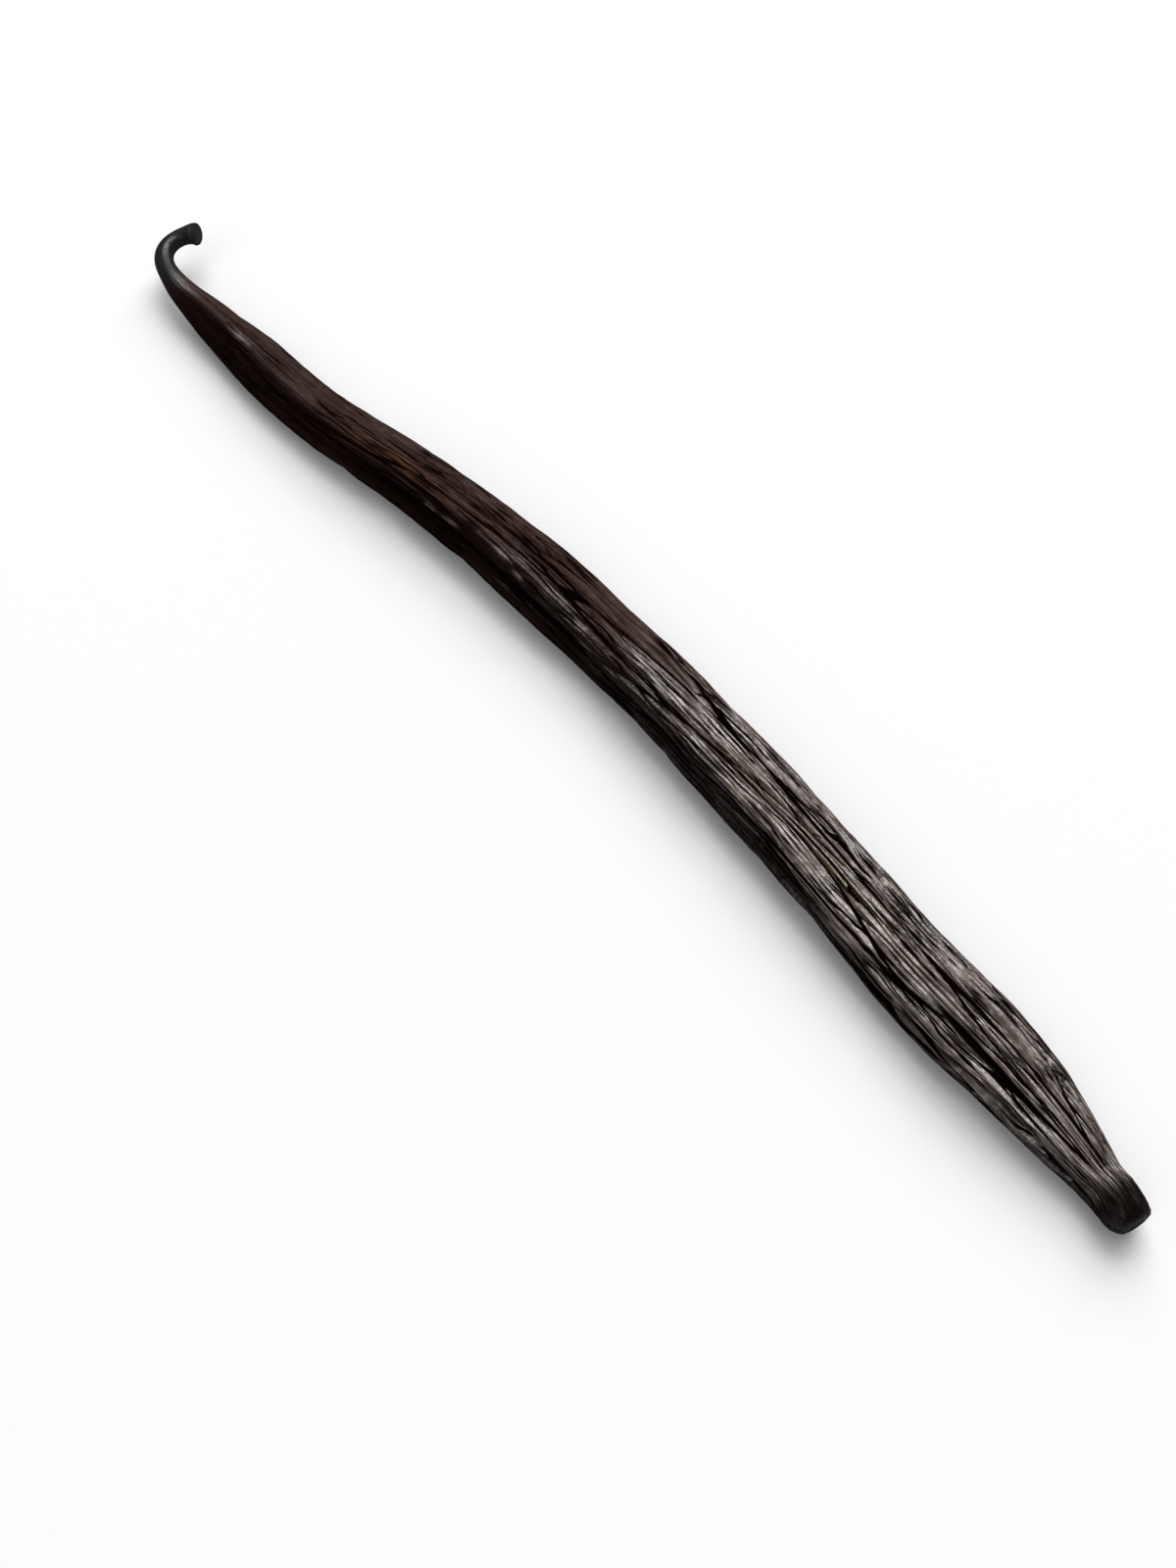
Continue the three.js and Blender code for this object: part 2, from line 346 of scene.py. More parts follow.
@dataclass(frozen=True)
class MiddleLine:
    """The pod's middle line: how it turns seen from above, and how it rises off the ground."""

    length: float = 177.0
    step: float = 0.25
    first_heading: float = -165.0
    bends: tuple[Bend, ...] = (
        Bend("hook", 4.2, 11, 155),
        Bend("stem", 12, 9, 13),
        Bend("shoulder", 26, 20, -3),
        Bend("upper sway", 42, 24, 9.5),
        Bend("middle sway", 66, 30, -7),
        Bend("lower middle sway", 93, 30, -5.5),
        Bend("lower sway", 122, 34, -3),
        Bend("fullest place", 145, 14, 5),
        Bend("taper", 159, 12, -6),
        Bend("tip", 167, 10, -1.2),
    )

    def heading(self, place: Array) -> Array:
        """Finds the line's direction seen from above.

        Args:
            place: Places on the line.

        Returns:
            The direction at each place, in radians from +X.
        """
        degrees = np.full_like(place, self.first_heading)
        for bend in self.bends:
            degrees += bend.turn * ease(bend.at - bend.over / 2, bend.at + bend.over / 2, place)
        return np.radians(degrees)

    def walk(self, place: Array) -> tuple[Array, Array]:
        """Follows the line's heading from the cut stem.

        Args:
            place: Places on the line.

        Returns:
            The x and y of each place.
        """
        steps = round(self.length / self.step)
        heading = self.heading((np.arange(steps) + 0.5) * self.step)
        x = np.concatenate(([0.0], np.cumsum(np.cos(heading)))) * self.step
        y = np.concatenate(([0.0], np.cumsum(np.sin(heading)))) * self.step
        stations = np.arange(steps + 1) * self.step
        return np.interp(place, stations, x), np.interp(place, stations, y)


@dataclass(frozen=True)
class PodForm:
    """The whole form of the pod, from its middle line to its finest modelled wrinkles."""

    line: MiddleLine = MiddleLine()
    seat: float = 0.93
    flat_spots: tuple[float, ...] = (36.0, 94.0, 150.0)
    flat_spot_length: float = 9.0
    arch: float = 0.34
    stem_rise: float = 4.3
    stem_rise_ends: float = 27.0
    stem_rise_curve: float = 1.6
    tip_rise: float = 0.2
    tip_rise_starts: float = 163.0
    sections: tuple[Section, ...] = (
        Section("cut rim", 0, 3.7, 2.6),
        Section("behind the cut", 1.9, 2.3, 2.2),
        Section("hook", 4.8, 2.4, 2.2),
        Section("stem", 9.5, 2.7, 2.4),
        Section("neck", 13.5, 3.6, 2.9),
        Section("shoulder", 20, 5.3, 3.9),
        Section("top of the body", 28, 6.7, 4.8),
        Section("upper body", 45, 7.3, 5.3),
        Section("upper middle", 62, 8.3, 5.9),
        Section("middle", 90, 9.1, 6.2),
        Section("lower middle", 118, 8.9, 6.3),
        Section("lower body", 140, 9.2, 6.4),
        Section("fullest place", 152, 9.2, 6.3),
        Section("start of the taper", 159, 8.5, 5.9),
        Section("taper", 165.5, 7, 5.2),
        Section("waist before the collar", 171.6, 4.7, 4.3),
        Section("collar", 173.8, 4.9, 4.7),
        Section("blossom end", 177, 4.3, 4.2),
    )
    crest_turns: tuple[Range, ...] = (
        (24, 112),
        (58, 124),
        (86, 118),
        (98, 141),
        (112, 138),
        (124, 128),
        (138, 136),
        (160, 128),
        (174, 114),
    )
    faces: tuple[Face, ...] = (
        Face("crest", 0, 17, 0.42),
        Face("broad face", -50, 24, -0.26),
        Face("steep face", 34, 15, -0.34),
    )
    folds: tuple[Fold, ...] = (
        Fold("head of the lens valley", 138, 157, 162, 106, 6, 0.6),
        Fold("lens valley", 147, 168, 116, 121, 6.5, 0.7),
        Fold("lip below the valley", 149, 168, 144, 136, 7, -0.28),
        Fold("tuck under the lip", 145, 168, 182, 140, 6, 0.62),
        Fold("lower flank furrow", 120, 152, 148, 150, 5, 0.4),
        Fold("flank valley", 48, 99, 150, 154, 10, 0.55),
        Fold("hollow under the crest", 95, 119, 157, 160, 8, 0.55),
        Fold("broad face furrow", 66, 138, 62, 74, 5, 0.36),
        Fold("left edge furrow", 30, 118, 24, 16, 6, 0.4),
        Fold("upper furrow", 17, 60, 84, 96, 5, 0.32),
        Fold("upper flank furrow", 15, 50, 168, 150, 6, 0.34),
        Fold("right edge furrow", 34, 92, 196, 188, 6, 0.4),
        Fold("lower left furrow", 44, 160, 338, 348, 7, 0.5),
        Fold("lower right furrow", 84, 158, 214, 206, 7, 0.5),
        Fold("tip furrow", 140, 169, 58, 80, 6, 0.34),
    )
    # The fold depth that gets the full painted shade in its bottom, and the range over which that shade
    # comes in.
    fold_deep: float = 0.62
    fold_painted_shade: Range = (0.25, 0.8)
    ridges: Wrinkles = Wrinkles(around=16, depth=0.36, share=0.5, stands=0.4, length=60.0, unevenness=0.75)
    creases: Grooves = Grooves(around=30, depth=0.2, share=0.5, stands=0.3, draw=5.0, worn=0.27)
    threads: Grooves = Grooves(around=60, depth=0.09, share=0.55, stands=0.3, draw=9.0, worn=0.2)
    wrinkles_rise: Range = (7.0, 30.0)
    wrinkles_fade: Range = (166.0, 180.0)
    lines_rise: Range = (45.0, 95.0)
    lines_fade: Range = (172.0, 177.5)
    lines_faint: float = 0.35
    swells: tuple[tuple[float, float, float], ...] = (
        (37, 0.018, 0.6),
        (17, 0.011, 2.1),
        (8.3, 0.006, 4.4),
    )
    bulge: Patch = Patch("bulge before the tip", 171.2, 117, 1.6, 12)
    red_hollow: Patch = Patch("red hollow", 108.5, 151, 5, 9)
    bare: float = 0.75
    calm: float = 0.65
    calm_noise: Unevenness = Unevenness(9, 17, 51)
    calm_from: Range = (-0.1, 0.55)
    calm_fade: Range = (100.0, 125.0)
    calm_faded: float = 0.9
    lump: float = 0.05
    lump_noise: Unevenness = Unevenness(22, 2.6, 21)
    crimp: Patch = Patch("crimp", 119.5, 148, 2.6, 15)
    crimp_depth: float = 0.45
    gathered: Patch = Patch("gathers", 118.6, 131, 2.6, 9)
    gather_wave: float = 1.2
    gather_depth: float = 0.16
    gather_edge: Range = (0.1, 0.4)
    gather_bow: float = 0.35
    gather_noise: Unevenness = Unevenness(14, 4, 31)
    collar_rise: Range = (170.5, 173.5)
    collar_lumps: tuple[tuple[float, Unevenness], ...] = (
        (0.2, Unevenness(6, 2.1, 61)),
        (0.08, Unevenness(17, 0.9, 67)),
    )
    slant_turn: float = 160.0
    slant_reach: float = 1.8
    slant_fades: float = 6.0

    def section(self, place: Array, measure: str) -> Array:
        """Follows one measure of the section on a smooth curve through the named sections.

        Args:
            place: Places along the pod.
            measure: "width" or "thickness".

        Returns:
            The measure at each place.
        """
        at = np.array([section.at for section in self.sections])
        value = np.array([getattr(section, measure) for section in self.sections])
        last = len(at) - 1
        k = np.arange(last + 1)
        before = np.maximum(k - 1, 0)
        after = np.minimum(k + 1, last)
        slope = (value[after] - value[before]) / (at[after] - at[before])
        i = np.clip(np.searchsorted(at, place, side="right") - 1, 0, last - 1)
        gap = at[i + 1] - at[i]
        t = np.clip((place - at[i]) / gap, 0.0, 1.0)
        keep = 2 * t**3 - 3 * t**2 + 1
        leave = t**3 - 2 * t**2 + t
        arrive = t**3 - t**2
        bowed = leave * slope[i] + arrive * slope[i + 1]
        return keep * value[i] + (1 - keep) * value[i + 1] + gap * bowed

    def height(self, place: Array) -> Array:
        """Works out how high the middle line lies.

        Args:
            place: Places along the pod.

        Returns:
            The line's height above the ground at each place.
        """
        pressed = np.max([hill(place - spot, self.flat_spot_length) for spot in self.flat_spots], axis=0)
        resting = self.seat * self.section(place, "thickness") / 2 + self.arch * (1 - pressed)
        stem = self.stem_rise * np.maximum(0.0, 1 - place / self.stem_rise_ends) ** self.stem_rise_curve
        return resting + stem + self.tip_rise * ease(self.tip_rise_starts, self.line.length, place)

    def crest(self, place: Array) -> Array:
        """Follows the lengthwise crest round the pod.

        Args:
            place: Places along the pod.

        Returns:
            The crest's turn at each place.
        """
        turn = np.full_like(place, self.crest_turns[0][1])
        for (start, before), (end, after) in zip(self.crest_turns, self.crest_turns[1:]):
            turn += (after - before) * ease(start, end, place)
        return turn

    def wrinkled(self, place: Array, fade: Range) -> Array:
        """How wrinkled the skin is at each place: 0 on the stem, 1 on the body, and 0 past the fade."""
        return ease(*self.wrinkles_rise, place) * (1 - ease(*fade, place))

    def lined(self, place: Array) -> Array:
        """How dark the lines in the creases are at each place, from 0 to 1."""
        faint = self.lines_faint * (1 - ease(*self.lines_rise, place))
        return self.wrinkled(place, self.lines_fade) * (1 - faint)

    def relief(self, spots: Spots) -> Relief:
        """Works out how far the skin stands out from the plain oval section.

        Args:
            spots: The spots to judge.

        Returns:
            The main form's and the modelled wrinkles' lift. The marks are the distances "ridge_back" and
            "gather_back" from the nearest furrow and gather, the "warp" and "worn" of the creases and
            threads, and the masks "creased", "lined" and "fold" from 0 to 1, "fold" being the painted shade
            in the bottoms of the deep folds.
        """
        full = self.wrinkled(spots.place, self.wrinkles_fade)
        crest = self.crest(spots.place)
        faces = sum(face.rise * hill(spots.past(crest + face.turn), face.spread) for face in self.faces)
        depth = self.crimp_depth * self.crimp.strength(spots)
        # Painted shade in the deep folds: the deeper a fold, the darker its bottom is coloured.
        dark = np.zeros_like(depth)
        for fold in self.folds:
            strength = fold.strength(spots)
            depth += fold.depth * strength
            dark = np.maximum(dark, ease(*self.fold_painted_shade, strength * (fold.depth / self.fold_deep) ** 2))
        marks = {"fold": dark, "creased": 1 - self.smooth(spots), "lined": self.lined(spots.place)}
        marks["ridge_back"] = self.ridges.ridge_back(spots)
        gathers, marks["gather_back"] = self.gathers(spots)
        fine = np.zeros_like(depth)
        for name, grooves in (("crease", self.creases), ("thread", self.threads)):
            lift, marks[name + "_warp"], marks[name + "_worn"] = grooves.relief(spots)
            fine += lift
        fine += self.lump * self.lump_noise.at(spots)
        collar = sum(size * noise.at(spots) for size, noise in self.collar_lumps)
        collar = ease(*self.collar_rise, spots.place) * collar
        coarse = full * (faces + self.ridges.lift(marks["ridge_back"])) - depth
        return Relief(coarse, full * marks["creased"] * fine + gathers + collar, marks)

    def smooth(self, spots: Spots) -> Array:
        """Works out how much of the fine creasing is stretched away.

        Args:
            spots: The spots to judge.

        Returns:
            One number from 0, fully creased, to 1, smooth.
        """
        calm = self.calm * ease(*self.calm_from, self.calm_noise.at(spots))
        calm = calm * (1 - self.calm_faded * ease(*self.calm_fade, spots.place))
        return np.clip(self.bare * covered((self.bulge, self.red_hollow), spots) + calm, 0.0, 1.0)

    def gathers(self, spots: Spots) -> tuple[Array, Array]:
        """Works out the short gathers that run across the crest at the pinched place.

        Args:
            spots: The spots to judge.

        Returns:
            The lift in millimetres, and each spot's distance from the nearest gather: 0 in it and 1 or
            more half way to the next one and away from the pinched place.
        """
        where = self.gathered.strength(spots)
        across = (spots.place + self.gather_bow * self.gather_noise.at(spots)) / self.gather_wave
        back = 2.0 * np.abs(across - np.round(across))
        return -self.gather_depth * where * (1 - back), back + 2.0 * (1 - ease(*self.gather_edge, where))

    def skin(self, spots: Spots, share: Array, fine: bool) -> Array:
        """Finds the spot in space of each point of the unit form.

        Args:
            spots: The points' places and turns.
            share: Shares of the full section, 1 on the skin and 0 on the middle line.
            fine: Whether the fine wrinkles are added to the main form.

        Returns:
            One row of x, y and z in millimetres for each point.
        """
        swell = np.ones_like(share)
        for wave, size, shift in self.swells:
            swell += size * np.sin(through_wave(spots.place, wave) + shift)
        radians = np.radians(spots.turn)
        across = swell * self.section(spots.place, "width") / 2 * np.cos(radians)
        upward = self.section(spots.place, "thickness") / 2 * np.sin(radians)
        relief = self.relief(spots)
        lift = relief.coarse + relief.fine if fine else relief.coarse
        grown = share * (1 + lift / np.hypot(across, upward))
        slant = self.slant_reach * share * (1 + np.cos(np.radians(spots.turn - self.slant_turn))) / 2
        slant = slant * (1 - ease(0.0, self.slant_fades, spots.place))
        return self.bend(spots.place, across * grown, upward * grown, slant)

    def bend(self, place: Array, across: Array, upward: Array, slant: Array) -> Array:
        """Lays straight points along the bent middle line.

        Args:
            place: Places along the pod.
            across: Distances to the left of the middle line.
            upward: Distances above it.
            slant: Distances on from the cut.

        Returns:
            One row of x, y and z in millimetres for each point.
        """
        inside = np.clip(place, 0.0, self.line.length)
        x, y = self.line.walk(inside)
        heading = self.line.heading(inside)
        step = self.line.step
        climb = (self.height(inside + step) - self.height(inside - step)) / (2 * step)
        forward = np.stack((np.cos(heading), np.sin(heading), climb), axis=1)
        forward /= np.linalg.norm(forward, axis=1, keepdims=True)
        left = np.stack((-np.sin(heading), np.cos(heading), np.zeros_like(place)), axis=1)
        point = np.stack((x, y, self.height(inside)), axis=1)
        point += forward * (place - inside + slant)[:, None]
        point += left * across[:, None] + np.cross(forward, left) * upward[:, None]
        point[:, 2] = np.maximum(0.0, point[:, 2])
        return point


# ----------------------------
# Shader nodes
# ----------------------------


class Sketch:
    """Adds and joins the nodes of one shader tree."""

    def __init__(self, tree: bpy.types.NodeTree) -> None:
        """Keeps the tree that the nodes go into."""
        self.tree = tree

    @cached_property
    def place(self) -> Socket:
        """Where on the straightened pod each spot is."""
        return self.attribute(PLACE_ATTRIBUTE, "Vector")

    def add(self, kind: str, inputs: dict[str, object] | None = None, **settings: object) -> Node:
        """Adds a node.

        Args:
            kind: The node's type.
            inputs: Sockets by identifier or name, each with a value or the output that feeds it.
            settings: The node's own properties.

        Returns:
            The new node.
        """
        node = self.tree.nodes.new(kind)
        for name, value in settings.items():
            setattr(node, name, value)
        for name, value in (inputs or {}).items():
            self.feed(node, name, value)
        return node

    def feed(self, node: Node, name: str, value: object) -> None:
        """Sets a socket, or links the output that feeds it.

        Args:
            node: The node that has the socket.
            name: The socket's identifier or name.
            value: The value, or the output.
        """
        found = [socket for socket in node.inputs if socket.identifier == name]
        socket = found[0] if found else node.inputs[name]
        if isinstance(value, Socket):
            self.tree.links.new(value, socket)
        else:
            socket.default_value = value

    def chain(self, operation: str, *values: object) -> Socket:
        """Joins values or outputs one after another.

        Args:
            operation: The name of the step of arithmetic.
            values: Two or more values or outputs.

        Returns:
            The result's output.
        """
        total = values[0]
        for value in values[1:]:
            node = self.add("ShaderNodeMath", {"Value": total, "Value_001": value}, operation=operation)
            total = node.outputs["Value"]
        return total

    def times(self, *values: object) -> Socket:
        """The product of values or outputs."""
        return self.chain("MULTIPLY", *values)

    def plus(self, *values: object) -> Socket:
        """The sum of values or outputs."""
        return self.chain("ADD", *values)

    def less(self, value: object, taken: object) -> Socket:
        """One value or output less another."""
        return self.chain("SUBTRACT", value, taken)

    def mix(self, factor: object, a: object, b: object) -> Socket:
        """Mixes two colours.

        Args:
            factor: How much of the second shows.
            a: The first colour or output.
            b: The second colour or output.

        Returns:
            The mixed colour's output.
        """
        inputs = {"Factor_Float": factor, "A_Color": a, "B_Color": b}
        node = self.add("ShaderNodeMix", inputs, data_type="RGBA")
        return next(socket for socket in node.outputs if socket.identifier == "Result_Color")

    def span(self, value: object, low: object, high: object, start: float, end: float) -> Socket:
        """Maps a range smoothly onto another.

        Args:
            value: The value or output to map.
            low: The value that gives start.
            high: The value that gives end.
            start: The result at low.
            end: The result at high.

        Returns:
            The result's output.
        """
        inputs = {"Value": value, "From Min": low, "From Max": high, "To Min": start, "To Max": end}
        return self.add("ShaderNodeMapRange", inputs, interpolation_type="SMOOTHSTEP").outputs["Result"]

    def attribute(self, name: str, output: str) -> Socket:
        """Reads one of the mesh's own attributes."""
        return self.add("ShaderNodeAttribute", attribute_name=name).outputs[output]

    def mask(self, name: str) -> Socket:
        """Reads a mask or measure that the mesh holds."""
        return self.attribute(name, "Fac")

    def stretched(self, along: float) -> Socket:
        """Where each spot is for a pattern that is stretched along the pod."""
        inputs = {"Vector": self.place, "Vector_001": (1.0 / along, 1.0, 1.0)}
        return self.add("ShaderNodeVectorMath", inputs, operation="MULTIPLY").outputs["Vector"]

    def noise(self, vector: Socket, scale: object, detail: float, roughness: float = 0.5) -> Socket:
        """Reads smooth noise.

        Args:
            vector: Where the noise is read.
            scale: How many waves there are in a metre.
            detail: How many finer waves are added.
            roughness: How strong the finer waves are.

        Returns:
            The noise's output.
        """
        inputs = {"Vector": vector, "Scale": scale, "Detail": detail, "Roughness": roughness}
        return self.add("ShaderNodeTexNoise", inputs).outputs["Fac"]

    def split(self, vector: Socket) -> tuple[Socket, ...]:
        """The X, Y and Z of a vector."""
        return tuple(self.add("ShaderNodeSeparateXYZ", {"Vector": vector}).outputs)

    def joined(self, x: Socket, y: Socket, z: Socket) -> Socket:
        """The vector that has the given X, Y and Z."""
        return self.add("ShaderNodeCombineXYZ", {"X": x, "Y": y, "Z": z}).outputs["Vector"]

    def bump(self, height: Socket) -> Socket:
        """The normal of a surface raised by a height in metres."""
        return self.add("ShaderNodeBump", {"Height": height, "Distance": 1.0}).outputs["Normal"]


@dataclass(frozen=True)
class Mottle:
    """Noise on the straightened pod: its stretch along it, its waves in a metre, and its finer waves."""

    stretch: float
    scale: float
    detail: float
    roughness: float = 0.5

    def draw(self, sketch: Sketch) -> Socket:
        """The noise's output."""
        return sketch.noise(sketch.stretched(self.stretch), self.scale, self.detail, self.roughness)


@dataclass(frozen=True)
class Fibres:
    """Fine lengthwise cells with thin lines between them, shared by the skin and the cut stem."""

    stretch: float
    scale: float
    width: float
    name: str = "lengthwise fibres"
    warp_scale: float = 0.35
    warp: float = 1.3
    core: float = 0.5

    def draw(self, sketch: Sketch) -> Node:
        """Places the fibres' node group.

        Args:
            sketch: The material's sketch.

        Returns:
            A node with the outputs Line, the lines' strength, and Tone, the cells' own shades.
        """
        tree = bpy.data.node_groups.get(self.name) or self.build()
        inputs = {"Vector": sketch.place, "Stretch": self.stretch, "Scale": self.scale, "Width": self.width}
        return sketch.add("ShaderNodeGroup", inputs, node_tree=tree)

    def build(self) -> bpy.types.NodeTree:
        """Makes the node group.

        Returns:
            A group that takes Vector, Stretch, Scale and Width and gives Line and Tone.
        """
        tree = bpy.data.node_groups.new(self.name, "ShaderNodeTree")
        tree.interface.new_socket("Vector", in_out="INPUT", socket_type="NodeSocketVector")
        for name in ("Stretch", "Scale", "Width"):
            tree.interface.new_socket(name, in_out="INPUT", socket_type="NodeSocketFloat")
        for name in ("Line", "Tone"):
            tree.interface.new_socket(name, in_out="OUTPUT", socket_type="NodeSocketFloat")
        sketch = Sketch(tree)
        given = sketch.add("NodeGroupInput").outputs
        result = sketch.add("NodeGroupOutput")
        x, y, z = sketch.split(given["Vector"])
        along = sketch.chain("DIVIDE", x, given["Stretch"])
        warp = sketch.noise(sketch.joined(along, y, z), sketch.times(given["Scale"], self.warp_scale), 2.0)
        reach = sketch.chain("DIVIDE", self.warp, given["Scale"])
        shift = sketch.times(sketch.less(warp, 0.5), reach)
        bowed = sketch.joined(along, sketch.plus(y, shift), sketch.plus(z, shift))
        cells = {"Vector": bowed, "Scale": given["Scale"]}
        edge = sketch.add("ShaderNodeTexVoronoi", cells, feature="DISTANCE_TO_EDGE").outputs["Distance"]
        cell = sketch.add("ShaderNodeTexVoronoi", cells, feature="F1").outputs["Color"]
        core = sketch.times(given["Width"], self.core)
        sketch.feed(result, "Line", sketch.span(edge, core, given["Width"], 1.0, 0.0))
        sketch.feed(result, "Tone", sketch.add("ShaderNodeSeparateColor", {"Color": cell}).outputs["Red"])
        return tree


@dataclass(frozen=True)
class Finish:
    """A material made of one Principled shader."""

    name: str

    def start(self) -> tuple[bpy.types.Material, Sketch, Node]:
        """Makes an empty material.

        Returns:
            The material, the sketch of its nodes, and its Principled shader.
        """
        material = bpy.data.materials.new(self.name)
        material.use_nodes = True
        material.node_tree.nodes.clear()
        sketch = Sketch(material.node_tree)
        shader = sketch.add("ShaderNodeBsdfPrincipled")
        sketch.add("ShaderNodeOutputMaterial", {"Surface": shader.outputs["BSDF"]})
        return material, sketch, shader


@dataclass(frozen=True)
class DarkLine:
    """The near-black lines of one kind of furrow: their half width, and their strength whole and broken."""

    width: float
    whole: float
    broken: float


@dataclass(frozen=True)
class PodSkin(Finish):
    """Dark oily skin: red-brown under near-black furrows, glossier towards the blossom end. Its colour holds
    painted sheen and glints on the oily skin, and painted shade in the furrows and folds, on the steep
    flank, towards the stem end and on the near side of the tip.
    """

    name: str = "cured pod skin"
    # Darker colour of the stem end: painted shade that fades into the body colour along the pod.
    upper: Colour = (0.033, 0.018, 0.015, 1.0)
    body: Colour = (0.062, 0.040, 0.032, 1.0)
    warm: Colour = (0.034, 0.0145, 0.010, 1.0)
    # Pale colour of the painted sheen on the oily skin.
    pale: Colour = (0.262, 0.207, 0.181, 1.0)
    olive: Colour = (0.115, 0.078, 0.026, 1.0)
    amber: Colour = (0.11, 0.045, 0.018, 1.0)
    # Light grey colour of the painted glints scattered over the oily skin.
    painted_glint: Colour = (0.36, 0.33, 0.31, 1.0)
    red: Colour = (0.04, 0.012, 0.007, 1.0)
    # Near-black colour of the painted shade on the steep flank.
    shade: Colour = (0.0070, 0.0024, 0.0017, 1.0)
    # Near-black colour of the lines along the furrows, partly the skin's own lines and partly painted shade
    # at their bottoms, and of the painted shade in the deep folds.
    furrow: Colour = (0.0024, 0.0010, 0.0008, 1.0)
    # Dark colour of the blossom end's knob, also used for the painted shade on the near side of the tip.
    tip: Colour = (0.0052, 0.0023, 0.0018, 1.0)
    stem: Colour = (0.018, 0.018, 0.0205, 1.0)

    creases: int = 30
    threads: int = 60
    crinkle: Mottle = Mottle(5.0, 1000.0, 2.0)
    crinkle_reach: float = 0.9
    fibres: Fibres = Fibres(11.0, 1350.0, 0.22)
    fibres_show: Span = (0.4, 0.65, 0.0, 0.4)
    crackle: Fibres = Fibres(4.0, 1300.0, 0.1)
    crackle_shows: Span = (0.5, 0.64, 0.0, 0.5)
    broken: Mottle = Mottle(4.0, 900.0, 2.0)
    patchy: Mottle = Mottle(2.0, 260.0, 2.0)
    ridge_line: DarkLine = DarkLine(0.14, 1.0, 0.9)
    gather_line: DarkLine = DarkLine(0.4, 0.45, 0.1)
    crease_line: DarkLine = DarkLine(0.3, 1.0, 0.85)
    thread_line: DarkLine = DarkLine(0.36, 1.0, 0.5)
    hair_line: DarkLine = DarkLine(0.5, 0.8, 0.15)
    line_core: float = 0.4
    line_breaks: Range = (0.34, 0.6)
    line_strength: Span = (0.12, 0.7, 0.0, 1.0)
    bare_lined: Span = (0.0, 1.0, 0.25, 1.0)

    grain: Mottle = Mottle(1.8, 5600.0, 3.0, 0.65)
    mottle: Mottle = Mottle(2.5, 520.0, 3.0, 0.6)
    drift: Mottle = Mottle(3.0, 55.0, 2.0)
    # Noise that places the painted glints and breaks up the painted sheen.
    glint_noise: Mottle = Mottle(2.6, 2000.0, 1.0)
    drift_warms: Span = (0.42, 0.66, 0.0, 0.8)
    tone_pales: Span = (0.0, 1.0, 0.7, 1.0)
    mottle_pales: Span = (0.36, 0.6, 0.55, 1.0)
    glint_noise_sheen: Span = (0.38, 0.58, 0.48, 1.0)
    painted_glints_show: Span = (0.6, 0.7, 0.0, 0.8)
    tint_edge: Span = (0.34, 0.52, 0.0, 0.9)

    rough: Span = (0.3, 0.7, 0.4, 0.55)
    furrow_rough: float = 0.25
    dull_rough: float = 0.12
    grain_oily: Span = (0.36, 0.6, 0.15, 1.0)
    mottle_oily: Span = (0.36, 0.6, 0.5, 1.0)
    specular: float = 0.0
    oil_rough: float = 0.2
    oil_ior: float = 1.9
    line_sunk: float = -0.00005
    fibre_sunk: float = -0.00005
    tone_raised: float = 0.000025
    grain_raised: float = 0.00005

    def grooves(self, sketch: Sketch, name: str, around: int, finer: float = 1.0) -> Socket:
        """Measures how far each spot is from the nearest of the grooves that run side by side.

        Args:
            sketch: The material's sketch.
            name: The start of the names of the attributes that tell how the grooves wander and wear.
            around: How many grooves there are round the pod.
            finer: How many times closer together the measured lines lie than the grooves.

        Returns:
            The output of a distance from 0 in a groove to 1 half way to the next one.
        """
        _, sideways, upward = sketch.split(sketch.place)
        sideways = sketch.chain("DIVIDE", sideways, GRAIN_WIDTH)
        radians = sketch.chain("ARCTAN2", sketch.chain("DIVIDE", upward, GRAIN_THICKNESS), sideways)
        straight = sketch.times(radians, around / (2.0 * math.pi))
        crinkle = sketch.times(sketch.less(self.crinkle.draw(sketch), 0.5), self.crinkle_reach)
        across = sketch.plus(straight, sketch.mask(name + "_warp"), crinkle)
        if finer != 1.0:
            across = sketch.plus(sketch.times(across, finer), 0.5)
        back = sketch.times(sketch.chain("PINGPONG", across, 0.5), 2.0)
        return sketch.plus(back, sketch.mask(name + "_worn"))

    def lines(self, sketch: Sketch) -> tuple[Socket, Socket, Socket]:
        """Draws the near-black lines along the bottoms of the furrows, partly painted shade there, and the
        crackle between them.

        Args:
            sketch: The material's sketch.

        Returns:
            The outputs of the lines' strength, of the fine lines alone and of their cells' tone.
        """
        fibres = self.fibres.draw(sketch).outputs
        crackle = self.crackle.draw(sketch).outputs
        broken = self.broken.draw(sketch)
        patchy = self.patchy.draw(sketch)
        fibre_line = sketch.times(fibres["Line"], sketch.span(broken, *self.fibres_show))
        crackle_line = sketch.times(crackle["Line"], sketch.span(patchy, *self.crackle_shows))
        fine = sketch.chain("MAXIMUM", fibre_line, crackle_line)
        backs = (
            (sketch.mask("ridge_back"), self.ridge_line),
            (sketch.mask("gather_back"), self.gather_line),
            (self.grooves(sketch, "crease", self.creases), self.crease_line),
            (self.grooves(sketch, "thread", self.threads), self.thread_line),
            (self.grooves(sketch, "thread", self.threads, finer=2.0), self.hair_line),
        )
        drawn = []
        for back, line in backs:
            edge = sketch.span(back, self.line_core * line.width, line.width, 1.0, 0.0)
            drawn.append(sketch.times(edge, sketch.span(broken, *self.line_breaks, line.whole, line.broken)))
        total = sketch.chain("MAXIMUM", fine, *drawn)
        creased = sketch.times(sketch.span(sketch.mask("creased"), *self.bare_lined), sketch.mask("lined"))
        strength = sketch.span(sketch.times(total, creased), *self.line_strength)
        return strength, sketch.times(fine, creased), crackle["Tone"]

